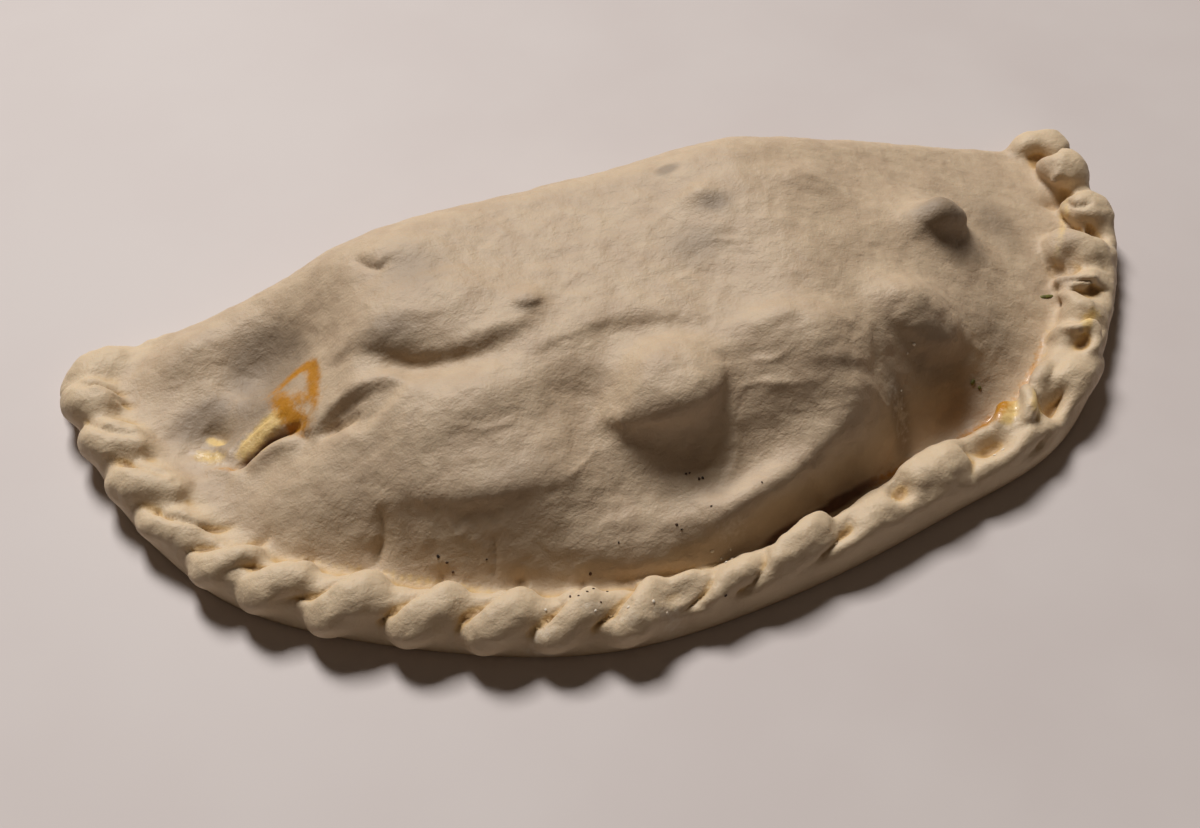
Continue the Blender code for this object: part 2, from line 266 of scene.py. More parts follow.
# Strands laid over the rim: tongues, curls and hooks of dough (radius at the start; radius at the end; height
# over width; then points along the rim, inward from its edge and above the table).
STRANDS = (
    (3.6, 4.2, 0.5, (240, 4.5, 11.5), (250, 7, 12.5), (262, 10, 12.0)),
    (2.4, 2.8, 0.8, (315, 10, 9.5), (322, 13, 10.5), (329, 16, 9.0)),
    (2.2, 2.6, 0.8, (322, 7.5, 12.5), (330, 10, 13.5), (337, 15.5, 11.5)),
    (1.6, 2.0, 0.9, (364, 15, 11), (364, 12, 13.5), (364, 8.5, 14.5), (368, 5.5, 14), (363, 3.2, 12.5), (356, 5, 13)),
    (2.0, 2.4, 0.8, (352, 13.5, 10.5), (346, 13.2, 11), (339, 13.4, 10.5)),
    (2.6, 2.8, 0.8, (386, 19, 10), (385, 13, 13), (387, 7, 14)),
    (2.0, 2.4, 0.8, (381, 17, 10), (377, 12, 13), (374, 6.5, 13.5)),
    (1.5, 1.8, 0.9, (441, 12, 14.5), (438, 14, 13.5), (437, 16.5, 11)),
)

# Pits (-) that the fingers left in the rim, and small bulges (+): (along, inward, radius along, radius across,
# turn in degrees, height, roundness).
PINCHES = (
    (54, 7, 6, 3, 20, -1.2, 2.0),
    (71, 6, 5, 2.5, 20, -1.0, 2.0),
    (216, 7, 7, 5, 0, -2.5, 2.0),
    (262, 7, 4, 3, 0, -1.5, 2.0),
    (281, 9.7, 2.6, 2.2, 30, -3.0, 2.0),
    (293, 9, 6, 5, 0, 1.5, 2.0),
    (310, 10, 6, 3.6, 0, -5.0, 2.4),
    (338, 8, 6, 4, 10, -6.0, 2.6),
    (361, 9, 3, 2.2, 0, -1.2, 2.0),
    (394, 17.5, 6, 4, 10, -3.0, 2.0),
    (410, 12, 3.5, 5, -20, -4.0, 2.0),
    (432, 17, 4, 4, 0, -3.0, 2.0),
    (453, 13, 4, 3, 0, -2.5, 2.0),
)


DOME_CUTS = 7
CORE_SIDES = 24
CORE_RINGS = 240
CRIMP_SIDES = 28
CRIMP_RINGS = 24


# ---- Curves in plan -----------------------------------------------------------------------------------------


def smooth_line(points, samples):
    """Points evenly spread along a smooth curve through the given ones."""
    known = np.array(points, float)
    known = np.vstack([2 * known[0] - known[1], known, 2 * known[-1] - known[-2]])
    t = np.linspace(0, 1, 40, endpoint=False)[:, None]
    pieces = []
    for a, b, c, d in zip(known[:-3], known[1:-2], known[2:-1], known[3:]):
        bend = (2 * a - 5 * b + 4 * c - d) * t**2 + (3 * b - a - 3 * c + d) * t**3
        pieces.append(0.5 * (2 * b + (c - a) * t + bend))
    dense = np.vstack([*pieces, known[-2:-1]])
    reach = np.r_[0, np.cumsum(np.linalg.norm(np.diff(dense, axis=0), axis=1))]
    even = np.linspace(0, reach[-1], samples)
    return np.stack([np.interp(even, reach, column) for column in dense.T], axis=1)


def smooth_value(pairs, at):
    """The value at each place of a smooth curve through (place, value) pairs in millimetres, in metres."""
    line = smooth_line(pairs, 400) * MM
    return np.interp(at, line[:, 0], line[:, 1])


class Edge:
    """The rim's outer edge: places are measured along it and inward from it."""

    def __init__(self, points):
        self.line = smooth_line(points, 900) * MM
        self.along = np.r_[0, np.cumsum(np.linalg.norm(np.diff(self.line, axis=0), axis=1))]
        way = np.gradient(self.line, axis=0)
        way /= np.linalg.norm(way, axis=1)[:, None]
        self.way = way
        self.inward = np.stack([-way[:, 1], way[:, 0]], axis=1)

    def plan(self, along, inward):
        """The places in plan that far along the edge and inward from it."""
        at = np.stack([np.interp(along, self.along, column) for column in self.line.T], axis=-1)
        into = np.stack([np.interp(along, self.along, column) for column in self.inward.T], axis=-1)
        return at + into * np.expand_dims(inward, -1)

    def measure(self, plan):
        """How far along the edge each place in plan lies, and how far inward from it."""
        parts = np.array_split(plan, len(plan) // 4000 + 1)
        away = (self.line**2).sum(axis=1)
        best = np.concatenate([(away - 2 * part @ self.line.T).argmin(axis=1) for part in parts])
        offset = plan - self.line[best]
        along = self.along[best] + np.einsum("ij,ij->i", offset, self.way[best])
        return along, np.einsum("ij,ij->i", offset, self.inward[best])


EDGE = Edge(RIM_EDGE)


# ---- Dome ---------------------------------------------------------------------------------------------------


def hump(plan, x, y, radius, across, turn, height, roundness):
    """Height of a lump at each place in plan."""
    turn = math.radians(turn)
    away = plan - np.array((x, y)) * MM
    u = (away[:, 0] * math.cos(turn) + away[:, 1] * math.sin(turn)) / (radius * MM)
    v = (away[:, 1] * math.cos(turn) - away[:, 0] * math.sin(turn)) / (across * MM)
    return height * MM * np.exp(-((u * u + v * v) ** (roundness / 2)))


def skin_height(plan):
    """Height of the dome's skin above the table at each place in plan."""
    along, inward = EDGE.measure(plan)
    fall = 1 - CROWN_FALL * ((plan[:, 1] - CROWN_Y) / 0.09) ** 2
    crown = smooth_value(CROWN, plan[:, 0]) * np.where(plan[:, 1] < CROWN_Y, fall, 1)
    width = smooth_value(SHOULDER, along)
    width += (SHOULDER_INSIDE - width) * np.clip((inward - 0.03) / 0.02, 0, 1)
    rise = np.clip((inward - smooth_value(CREASE, along)) / width, 0, None)
    low = smooth_value(CREASE_LEVEL, along)
    height = low + (crown - low) * (1 - np.exp(-(rise**SHOULDER_CURVE)))
    for lump in LUMPS:
        height = height + hump(plan, *lump) * (1 - np.exp(-3 * rise))
    return height


def dome(bm):
    """The filled dome: a ball pulled out to the half-moon plan, its top lifted to the skin's height."""
    ball = bmesh.ops.create_icosphere(bm, subdivisions=DOME_CUTS, radius=1)["verts"]
    co = np.array([vertex.co for vertex in ball])
    rim_side = EDGE.plan(EDGE.along[::30], CORE_INWARD)
    fold_side = smooth_line(BACK_FOLD, 60)[::-1] * MM
    border = np.vstack([rim_side, fold_side[1:-1]])
    bearing = np.arctan2(*(border - MIDDLE).T[::-1])
    order = np.argsort(bearing)
    turn = np.arctan2(co[:, 1], co[:, 0])
    edge = [np.interp(turn, bearing[order], column[order], period=math.tau) for column in border.T]
    edge = np.stack(edge, axis=1)
    tilt = np.arcsin(np.clip(co[:, 2], -1, 1)) / (math.pi / 2)
    plan = MIDDLE + (edge - MIDDLE) * np.sin((1 - np.abs(tilt)) * math.pi / 2)[:, None]
    behind = smooth_value(BACK_FOLD, plan[:, 0]) - plan[:, 1]
    crown = smooth_value(CROWN, plan[:, 0])
    height = skin_height(plan)
    at_fold = edge[:, 1] > fold_side[:, 1].min() - MM
    level = np.where(at_fold, FOLD_LEVEL * crown, CORE_LEVEL)
    over = np.sqrt(1 - (1 - np.clip(behind / (FOLD_ROUND * crown), 0, 1)) ** 2)
    under = np.sqrt(1 - (1 - np.clip(behind / (FOLD_TUCK * crown), 0, 1)) ** 2)
    z = np.where(tilt > -1e-6, level + (height - level) * over, level - (level + BELOW_TABLE) * under)
    for vertex, (x, y), up in zip(ball, plan, z):
        vertex.co = (x, y, up)


# ---- Rim ----------------------------------------------------------------------------------------------------


def roll(bm, sides, rings, spine, half_width, half_height, squareness=1.0):
    """A roll of dough along a spine with rounded ends; its half sizes are given for places along it."""
    ball = bmesh.ops.create_uvsphere(bm, u_segments=sides, v_segments=rings, radius=1)["verts"]
    co = np.array([vertex.co for vertex in ball])
    share = np.arcsin(np.clip(co[:, 2], -1, 1)) / math.pi + 0.5
    turn = np.arctan2(co[:, 1], co[:, 0])
    girth = (1 - np.abs(2 * share - 1) ** ROLL_FULLNESS) ** 0.45
    places = np.linspace(0, 1, len(spine))
    at = np.stack([np.interp(share, places, column) for column in spine.T], axis=1)
    way = np.gradient(spine, axis=0)
    way = np.stack([np.interp(share, places, column) for column in way.T], axis=1)
    way /= np.linalg.norm(way, axis=1)[:, None]
    side = np.cross(way, (0, 0, 1))
    side /= np.linalg.norm(side, axis=1)[:, None]
    up = np.cross(side, way)
    across = np.sign(np.cos(turn)) * np.abs(np.cos(turn)) ** squareness
    upward = np.sign(np.sin(turn)) * np.abs(np.sin(turn)) ** squareness
    wide = (across * girth * half_width(share))[:, None]
    high = (upward * girth * half_height(share))[:, None]
    for vertex, place in zip(ball, at + side * wide + up * high):
        vertex.co = place


def rim_core(bm):
    """The plain roll under the crimps, all along the rim."""
    along = np.linspace(CORE_INWARD / 2, EDGE.along[-1] - CORE_INWARD / 2, CORE_RINGS)
    spine = np.column_stack([EDGE.plan(along, smooth_value(CORE_HALF_WIDTHS, along)), CORE_LEVEL + 0 * along])

    def half_width(share):
        return smooth_value(CORE_HALF_WIDTHS, share * EDGE.along[-1])

    def half_height(share):
        return smooth_value(CORE_HALF_HEIGHTS, share * EDGE.along[-1])

    roll(bm, CORE_SIDES, CORE_RINGS, spine, half_width, half_height, CORE_SQUARENESS)


def crimp(bm, start, end, start_angle, end_angle, middle, reach, radius, end_radius):
    """One roll wrapped slantwise over the rim."""
    share = np.linspace(0, 1, 24)
    angle = np.radians(start_angle + (end_angle - start_angle) * share)
    inward = (middle - reach * np.cos(angle)) * MM
    along = (start + (end - start) * share) * MM
    spine = np.column_stack([EDGE.plan(along, inward), CRIMP_LEVEL + CRIMP_RISE * np.sin(angle)])

    def half_width(at):
        return (radius + (end_radius - radius) * at) * MM

    roll(bm, CRIMP_SIDES, CRIMP_RINGS, spine, half_width, lambda at: CRIMP_FLATNESS * half_width(at))


def strand(bm, radius, end_radius, flatness, *points):
    """A strand of dough laid along points given along the rim, inward and above the table."""
    line = smooth_line(points, 6 * len(points))
    spine = np.column_stack([EDGE.plan(line[:, 0] * MM, line[:, 1] * MM), line[:, 2] * MM])

    def half_width(at):
        return (radius + (end_radius - radius) * at) * MM

    roll(bm, CRIMP_SIDES, CRIMP_RINGS, spine, half_width, lambda at: flatness * half_width(at))


def pillow(bm, x, y, level, long, short, thick, turn):
    """One soft ball of dough."""
    ball = bmesh.ops.create_uvsphere(bm, u_segments=CRIMP_SIDES, v_segments=CRIMP_RINGS, radius=MM)["verts"]
    bmesh.ops.scale(bm, verts=ball, vec=(long, short, thick))
    bmesh.ops.rotate(bm, verts=ball, matrix=Matrix.Rotation(math.radians(turn), 3, "Z"))
    bmesh.ops.translate(bm, verts=ball, vec=Vector((x, y, level)) * MM)


# ---- Joining and working the dough --------------------------------------------------------------------------


def vertices(mesh):
    """The mesh's vertex places."""
    flat = np.empty(len(mesh.vertices) * 3, np.float32)
    mesh.vertices.foreach_get("co", flat)
    return flat.reshape(-1, 3).astype(float)


def move_to(mesh, places):
    """Put the mesh's vertices at those places."""
    mesh.vertices.foreach_set("co", places.astype(np.float32).ravel())
    mesh.update()


def normals(mesh):
    """The mesh's vertex normals."""
    flat = np.empty(len(mesh.vertices) * 3, np.float32)
    mesh.vertex_normals.foreach_get("vector", flat)
    return flat.reshape(-1, 3).astype(float)


def edge_ends(mesh):
    """The two vertices of every edge."""
    flat = np.empty(len(mesh.edges) * 2, np.int32)
    mesh.edges.foreach_get("vertices", flat)
    return flat.reshape(-1, 2)


def relaxed(values, ends, rounds):
    """The values evened out between neighbours that many times."""
    count = np.bincount(ends.ravel(), minlength=len(values))
    values = values.reshape(len(count), -1)
    for _ in range(rounds):
        near = [
            np.bincount(ends[:, 0], column[ends[:, 1]], len(count))
            + np.bincount(ends[:, 1], column[ends[:, 0]], len(count))
            for column in values.T
        ]
        values = 0.5 * values + 0.5 * np.stack(near, axis=1) / np.maximum(count, 1)[:, None]
    return values.squeeze()


def join(made):
    """Join the overlapping shapes into one skin, as the object's plain mesh."""
    remesh = made.modifiers.new("join", "REMESH")
    remesh.mode = "VOXEL"
    remesh.voxel_size = GRAIN
    evaluated = made.evaluated_get(bpy.context.evaluated_depsgraph_get())
    mesh = bpy.data.meshes.new_from_object(evaluated)
    made.modifiers.clear()
    made.data = mesh


def outer_skin(bm):
    """Delete every pocket sealed between the folds."""
    waiting = set(bm.verts)
    skins = []
    while waiting:
        skin = set()
        front = [waiting.pop()]
        while front:
            vertex = front.pop()
            skin.add(vertex)
            near = {edge.other_vert(vertex) for edge in vertex.link_edges} & waiting
            waiting -= near
            front.extend(near)
        skins.append(skin)
    outermost = max(skins, key=len)
    bmesh.ops.delete(bm, geom=[vertex for vertex in bm.verts if vertex not in outermost], context="VERTS")


def cut_underside(bm, level):
    """Cut the dough off flat at that height and close the cut with one face."""
    geometry = [*bm.verts, *bm.edges, *bm.faces]
    cut = bmesh.ops.bisect_plane(
        bm, geom=geometry, dist=1e-6, plane_co=(0, 0, level), plane_no=(0, 0, 1), clear_inner=True
    )
    rim = [edge for edge in cut["geom_cut"] if isinstance(edge, bmesh.types.BMEdge)]
    bmesh.ops.holes_fill(bm, edges=rim, sides=0)
    bmesh.ops.recalc_face_normals(bm, faces=bm.faces)


# ---- Materials ----------------------------------------------------------------------------------------------


def linear(red, green, blue):
    """A colour as a shader reads it, from its 0 to 255 values as seen."""
    seen = np.array((red, green, blue)) / 255
    return (*np.where(seen < 0.04045, seen / 12.92, ((seen + 0.055) / 1.055) ** 2.4), 1.0)


class Value:
    """A shader socket that can be added, multiplied and compared."""

    def __init__(self, finish, socket):
        self.finish = finish
        self.socket = socket

    def math(self, operation, *others):
        return self.finish.add("ShaderNodeMath", {"operation": operation}, dict(enumerate((self, *others))))

    def __add__(self, other):
        return self.math("ADD", other)

    def __sub__(self, other):
        return self.math("SUBTRACT", other)

    def __mul__(self, other):
        return self.math("MULTIPLY", other)

    def __rsub__(self, other):
        return (self * -1.0).math("ADD", other)

    __radd__ = __add__
    __rmul__ = __mul__


class Finish:
    """A material and the nodes that make it."""

    def __init__(self, name):
        self.material = bpy.data.materials.new(name)
        self.material.use_nodes = True
        self.tree = self.material.node_tree
        self.shader = self.tree.nodes["Principled BSDF"]

    def add(self, kind, settings, inputs, output=0):
        """A node of that kind with its settings and inputs; gives one of its outputs."""
        node = self.tree.nodes.new(kind)
        for name, value in settings.items():
            setattr(node, name, value)
        for name, value in inputs.items():
            self.put(node.inputs[name], value)
        return Value(self, node.outputs[output])

    def put(self, socket, value):
        """Link a value to a socket or set it there."""
        if isinstance(value, Value):
            self.tree.links.new(value.socket, socket)
        else:
            socket.default_value = value

    def attribute(self, name):
        """A number painted on the piece's skin."""
        return self.add("ShaderNodeAttribute", {"attribute_name": name}, {}, "Fac")

    def place(self, scale=(1, 1, 1), turn=0.0):
        """Places on the piece in millimetres, stretched and turned."""
        place = self.add("ShaderNodeTexCoord", {}, {}, "Object")
        scale = tuple(1000 * part for part in scale)
        settings = {"Vector": place, "Rotation": (0, 0, turn), "Scale": scale}
        return self.add("ShaderNodeMapping", {}, settings)

    def noise(self, place, size, detail=3.0, roughness=0.5, distortion=0.0):
        """Cloudy noise whose blotches are about that many millimetres across."""
        inputs = {
            "Vector": place,
            "Scale": 1 / size,
            "Detail": detail,
            "Roughness": roughness,
            "Distortion": distortion,
        }
        return self.add("ShaderNodeTexNoise", {}, inputs)

    def between(self, value, low, high):
        """0 below low, 1 above high, and smooth between."""
        settings = {"interpolation_type": "SMOOTHSTEP"}
        inputs = {"Value": value, "From Min": low, "From Max": high}
        return self.add("ShaderNodeMapRange", settings, inputs)

    def mix(self, share, first, second):
        """One colour laid over another."""
        settings = {"data_type": "RGBA", "clamp_factor": True}
        return self.add("ShaderNodeMix", settings, {0: share, 6: first, 7: second}, 2)

    def bump(self, height, distance, below=None):
        """A normal raised by a height in units of that distance."""
        inputs = {"Height": height, "Distance": distance}
        if below:
            inputs["Normal"] = below
        return self.add("ShaderNodeBump", {}, inputs)

    def set(self, **sockets):
        """Set the shader's own sockets; an underscore stands for a space."""
        for name, value in sockets.items():
            self.put(self.shader.inputs[name.replace("_", " ")], value)


def raw_dough():
    """Raw pizza dough: satin, mottled, greyer where it is stretched thin, yellow in its creases; painted shade
    darkens its deeper creases and slits.
    """
    finish = Finish("raw dough")
    place = finish.place()
    mottling = finish.noise(place, 9, 5, 0.6)
    fine = finish.noise(place, 1.6, 4, 0.6)
    colour = finish.mix(finish.between(mottling, 0.35, 0.65), DOUGH_SHADE, DOUGH_PALE)
    colour = finish.mix(finish.attribute("rim") * 0.7, colour, RIM_CREAM)
    thin = finish.between(finish.attribute("thin") + 0.35 * (mottling - 0.5), 0.15, 0.75)
    colour = finish.mix(thin * 0.8, colour, THIN_GREY)
    crease_oil_and_shade = finish.attribute("crease_oil_and_shade")
    on_rim = finish.attribute("rim")
    crease = finish.between(crease_oil_and_shade + 0.3 * (fine - 0.5), 0.1, 0.7) * (0.12 + 0.6 * on_rim)
    colour = finish.mix(crease, colour, CREASE_YELLOW)
    # Painted shade: the deeper creases are darkened towards a brown, more strongly on the rim.
    colour = finish.mix(finish.between(crease_oil_and_shade, 0.5, 1.0) * (0.2 + 0.4 * on_rim), colour, CREASE_PAINTED_SHADE)
    butter = finish.between(finish.attribute("butter") + 0.5 * (fine - 0.5), 0.25, 0.7)
    colour = finish.mix(butter * 0.75, colour, BUTTER_YELLOW)
    oil = finish.between(finish.attribute("oil") + 1.1 * (fine - 0.5), 0.1, 0.9)
    colour = finish.mix(oil * 0.95, colour, OIL_ORANGE)
    flour = finish.between(finish.attribute("flour") + 1.2 * (fine - 0.5), 0.45, 0.95)
    colour = finish.mix(flour * 0.6, colour, FLOUR_WHITE)
    # Painted shade: the slits and the gap between rim and dome are darkened to a dark red-brown.
    dark = finish.between(finish.attribute("slit_shade"), 0.3, 0.8)
    colour = finish.mix(dark * 0.9, colour, SLIT_PAINTED_SHADE)
    grain = finish.noise(place, 0.7, 3, 0.6)
    stretch = finish.noise(finish.place((0.7, 1.1, 1), math.radians(-20)), 2.2, 5, 0.65, 0.6)
    puckers = finish.noise(place, 4.5, 3, 0.5, 0.3)
    height = finish.bump(grain, 0.00013)
    height = finish.bump(stretch, 0.00018, height)
    height = finish.bump(puckers, 0.0005, height)
    wet = finish.attribute("wet")
    finish.set(
        Base_Color=colour,
        Roughness=0.56 - 0.28 * wet + 0.2 * flour,
        Coat_Weight=finish.between(wet, 0.2, 0.9) * 0.3,
        Normal=height,
    )
    finish.set(Subsurface_Weight=0.10, Subsurface_Radius=(1.0, 0.6, 0.35), Subsurface_Scale=0.002)
    finish.set(IOR=1.42, Coat_Roughness=0.12)
    return finish.material


def matt_table():
    """A pale, faintly pink-grey table top with a low sheen."""
    finish = Finish("pale table")
    cloud = finish.noise(finish.place(), 60, 3)
    finish.set(
        Base_Color=finish.mix(finish.between(cloud, 0.3, 0.7), TABLE_SHADE, TABLE_PALE),
        Roughness=0.55 + 0.06 * (cloud - 0.5),
    )
    finish.set(IOR=1.4)
    return finish.material


DOUGH_PALE = linear(200, 178, 150)
DOUGH_SHADE = linear(190, 167, 140)
RIM_CREAM = linear(214, 192, 160)
THIN_GREY = linear(144, 126, 106)
CREASE_YELLOW = linear(200, 162, 100)
# The next colour is painted shade: a dark brown laid into the deeper creases, where shade falls.
CREASE_PAINTED_SHADE = linear(140, 104, 62)
BUTTER_YELLOW = linear(234, 200, 124)
OIL_ORANGE = linear(186, 124, 0)
FLOUR_WHITE = linear(226, 212, 192)
# The next colour is painted shade: a dark red-brown laid into the slits and the gap between rim and dome.
SLIT_PAINTED_SHADE = linear(92, 50, 24)
PEPPER_BLACK = linear(38, 28, 20)
PEPPER_BROWN = linear(84, 56, 34)
CRUMB_WHITE = linear(240, 234, 222)
HERB_GREEN = linear(112, 112, 38)
HERB_OLIVE = linear(84, 80, 34)
TABLE_PALE = linear(206, 198, 196)
TABLE_SHADE = linear(202, 193, 191)


# ---- The dough ----------------------------------------------------------------------------------------------


# Strokes worked into the dome: (profile, height, width, then points in plan from left to right). A height below 0
# is a groove. A ledge and the crisper step are raised on their line's left side, going from its first point.
DOME_STROKES = (
    ("ledge", 4.6, 8.0, (-27, -18), (-19, -24.5), (-6, -27), (2, -25), (9, -17)),
    ("round", 1.0, 6.0, (-79, -17), (-70, -10), (-60, -9), (-45, -8), (-29, -2.5), (-16, 0)),
    ("ledge", 3.0, 6.0, (54, -14), (62, -18.5), (70, -18), (76, -13)),
    ("ledge", 2.0, 7.0, (26, -22), (35, -24), (43, -23), (48, -16)),
    ("ledge", 2.3, 9.0, (-43, -2), (-30, 2), (-15, 4), (0, 0), (11, -6)),
    ("ledge", 4.0, 9.0, (-83, 22), (-74, 19), (-66, 14), (-59, 10), (-50, 8), (-42, 8), (-34, 10), (-26, 15)),
    ("ledge", 1.4, 3.5, (-37, 17), (-33, 14.5), (-28, 16)),
    ("ledge", 3.4, 6.0, (75, 18), (82, 16), (90, 18), (94, 23), (94, 31)),
    ("ledge", 2.4, 8.0, (-82, -20), (-72, -25), (-62, -30), (-52, -32), (-43, -33), (-34, -34)),
    ("ledge", 1.5, 5.0, (-6, -56), (0, -54), (8, -50.5), (15, -46.5), (20, -43), (23, -40)),
    ("ledge", 2.0, 6.0, (-42, -48), (-32, -51), (-20, -53), (-8, -55), (0, -56)),
    ("step", 1.3, 3.0, (19, -42.5), (24, -43.5), (30, -44.2), (35, -45)),
    ("ledge", 2.5, 6.0, (34, -44), (41, -39.5), (46, -35.5), (50, -31), (53, -25)),
    ("sharp", -5.0, 1.4, (-113, 8.5), (-110, 9.5), (-106, 10.5), (-101.5, 12.5), (-97, 11.5), (-93, 10)),
    ("round", 1.8, 2.4, (-109, 6.5), (-104, 7.5), (-99, 7.5), (-94, 5)),
    ("round", 1.2, 2.6, (-110, 12), (-105, 14.5), (-99, 17)),
    ("sharp", -1.2, 0.8, (-110, 11.5), (-106, 14), (-101, 16), (-96, 17)),
    ("sharp", -1.0, 0.8, (-111, 13), (-107, 16.5), (-102, 18.5), (-97, 18.8)),
    ("sharp", -1.0, 0.8, (-109, 10.8), (-104, 13), (-99, 14.5), (-95, 15)),
    ("round", 0.6, 0.8, (-113, 11), (-111, 15), (-106, 19)),
    ("round", 0.8, 1.2, (-118, 24), (-114, 19), (-111, 12)),
    ("round", -1.6, 3.0, (-117, 25), (-114, 22), (-112, 19)),
    ("sharp", 0.8, 1.0, (-119, 11), (-115, 9.5), (-111, 8)),
    ("sharp", -1.0, 1.4, (-97, 11), (-93, 6), (-88, 3), (-84, 2)),
    ("ledge", 3.4, 5.0, (-92, 2.5), (-86, 6.5), (-80, 7), (-73, 6), (-67, 4)),
    ("sharp", -2.2, 1.8, (-89, 5), (-85, 3), (-80, 2)),
    ("round", -1.4, 3.0, (-84, 1), (-79, 0), (-74, 1), (-68, 5)),
    ("sharp", -1.6, 1.5, (-70, 49), (-68, 43), (-64, 40), (-61, 43)),
    ("sharp", -1.8, 2.0, (-86, -32), (-84, -29), (-82, -26), (-81, -21)),
    ("sharp", 0.6, 0.9, (6, -27), (10, -23), (14, -22.5), (21, -25), (29, -27)),
    ("sharp", 0.6, 0.9, (6, -27), (5, -34), (0, -40), (-3, -43)),
    ("sharp", 0.6, 0.9, (14, -17), (20, -19), (24, -18)),
    ("sharp", 0.5, 0.9, (-27, -23), (-30, -27), (-35, -30), (-39, -32)),
    ("sharp", 0.5, 0.9, (-60, -12), (-55, -15), (-49, -16), (-43, -14)),
    ("sharp", 0.5, 0.8, (-67, -30), (-65, -34), (-61, -32)),
    ("sharp", -0.8, 0.9, (-58, -37), (-58, -40), (-60, -44)),
    ("sharp", 0.6, 0.8, (-20, -20), (-21, -25), (-23, -24)),
    ("sharp", 0.6, 0.8, (43, -28), (46, -30), (49, -27)),
    ("sharp", 0.5, 0.8, (18, 22), (23, 20), (29, 17)),
)

# Strokes worked into the rim: as above, with points along the rim and inward from its edge.
RIM_STROKES = (
    ("sharp", -2.2, 1.5, (22, 5.5), (26, 7), (27, 10), (29, 13), (31, 16)),
    ("sharp", -1.2, 1.0, (28, 12), (32, 17)),
    ("sharp", -1.2, 1.0, (33, 12), (37, 17)),
    ("sharp", -1.0, 1.0, (38, 8), (44, 16)),
    ("sharp", -1.8, 1.5, (32, 1.5), (43, 5.5), (48, 10), (51, 14)),
    ("sharp", -2.0, 1.6, (50, 1.5), (58, 8), (64, 11), (69, 14)),
    ("sharp", -2.4, 1.6, (66, 0), (73, 4), (79, 5.5), (85, 9), (90, 14), (92, 18)),
    ("sharp", -2.6, 1.6, (87, -1), (92, 6), (96, 9), (101, 14), (104, 19)),
    ("sharp", -2.2, 1.6, (101, 0), (106, 6), (112, 10), (118, 14), (121, 18)),
    ("sharp", -2.6, 1.6, (116, 0), (124, 4), (128, 7), (132, 12), (135, 18)),
    ("sharp", -2.6, 1.6, (139, -2), (146, 5), (151, 11), (154, 16), (155, 20)),
    ("sharp", -2.6, 1.6, (159, -2), (163, 5), (167, 9), (173, 15), (176, 20)),
    ("sharp", -2.6, 1.6, (174, -2), (181, 4.5), (184, 8), (190, 14), (193, 19)),
    ("sharp", -1.2, 1.2, (181, 5), (185, 9), (183, 13)),
    ("sharp", -2.6, 1.5, (188, -2), (194, 3), (198, 6), (204, 12), (207, 17)),
    ("sharp", -1.4, 1.2, (197, 2), (200, 5), (204, 8)),
    ("sharp", -2.4, 1.6, (211, -2), (217, 2), (221, 5), (226, 10), (228, 14)),
    ("sharp", -2.4, 1.6, (222, -2), (230, 2.5), (235, 4), (239, 8), (241, 12)),
    ("sharp", -2.4, 1.5, (239, 0), (245, 1.5), (252, 3), (259, 5), (264, 8), (265, 12)),
    ("sharp", -1.8, 1.3, (285, 13), (281, 12.5), (278, 10), (279, 7.5), (282, 7.5), (283.5, 9)),
    ("sharp", -1.6, 1.4, (302, 15), (303, 11), (303, 7), (299, 4)),
    ("round", 1.2, 1.8, (304, 4.5), (312, 4.5), (320, 6.5), (326, 9)),
    ("sharp", -1.4, 1.2, (315, 3), (321, 3), (327, 4)),
    ("sharp", -2.2, 1.5, (384, 20), (384, 14), (385, 9), (388, 5)),
    ("sharp", -1.8, 1.3, (427, 18), (421, 17), (419, 14), (421, 11)),
    ("sharp", -1.8, 1.4, (459, 15), (457, 12), (451, 9)),
)


# Where the dough is stretched thin and greyer, in plan: (x, y, radius, radius across, turn, strength, roundness).
THIN_PATCHES = (
    (-110, 20, 14, 8, 10, 0.6, 2.0),
    (-97, 37, 12, 13, 0, 1.0, 2.4),
    (-102, 26, 9, 7, 0, 0.9, 2.0),
    (-116, 28, 11, 6, 20, 0.9, 2.0),
    (-67, 19, 11, 6, -15, 0.6, 2.0),
    (-57, 36, 13, 12, 0, 0.5, 2.0),
    (108, 28, 9, 12, 0, 0.6, 2.0),
    (-33, 14, 5, 4, 0, 0.5, 2.0),
    (17, 51, 4, 2.5, 0, 0.8, 2.5),
    (24, 33, 6, 4.5, 0, 0.75, 2.0),
    (14, 22, 11, 9, -10, 0.55, 2.0),
    (87, 17, 12, 9, 0, 1.0, 2.0),
    (66, -20, 14, 9, 0, 0.6, 2.0),
    (88, -12, 10, 12, 0, 0.5, 2.0),
    (74, -26, 16, 7, 20, 0.6, 2.0),
    (51, -30, 4, 8, 0, 0.9, 2.0),
    (-51, -29, 20, 6, 10, 0.4, 2.0),
    (35, -23, 6, 5, 0, 0.4, 2.0),
)

# Tints laid on the dome, and painted shade in its slits: (strength, width, points in plan).
OIL_ON_DOME = (
    (1.0, 2.0, (-101, 25), (-98, 27), (-93, 28.5), (-88, 28), (-87, 24), (-88, 19), (-89, 13), (-91, 8)),
    (1.0, 2.8, (-98, 28), (-97, 24), (-96, 19), (-95, 14), (-93, 9), (-92, 5)),
    (0.7, 3.0, (-99, 22), (-94, 19), (-90, 16), (-86, 13)),
    (0.8, 1.2, (-91, 9), (-95, 10), (-99, 12)),
    (0.6, 0.9, (-109, 8.5), (-114, 9.5), (-117, 11)),
)
BUTTER_ON_DOME = (
    (0.9, 3.5, (-112, 11), (-108, 13), (-102, 16.5), (-96, 17.5), (-92, 18)),
    (0.6, 3.5, (-122, 20), (-118, 17), (-112, 12)),
    (0.8, 2.0, (-117, 24), (-114, 21), (-112, 19)),
    (0.5, 1.5, (-111, 8), (-105, 8.5), (-100, 10), (-93, 7)),
)
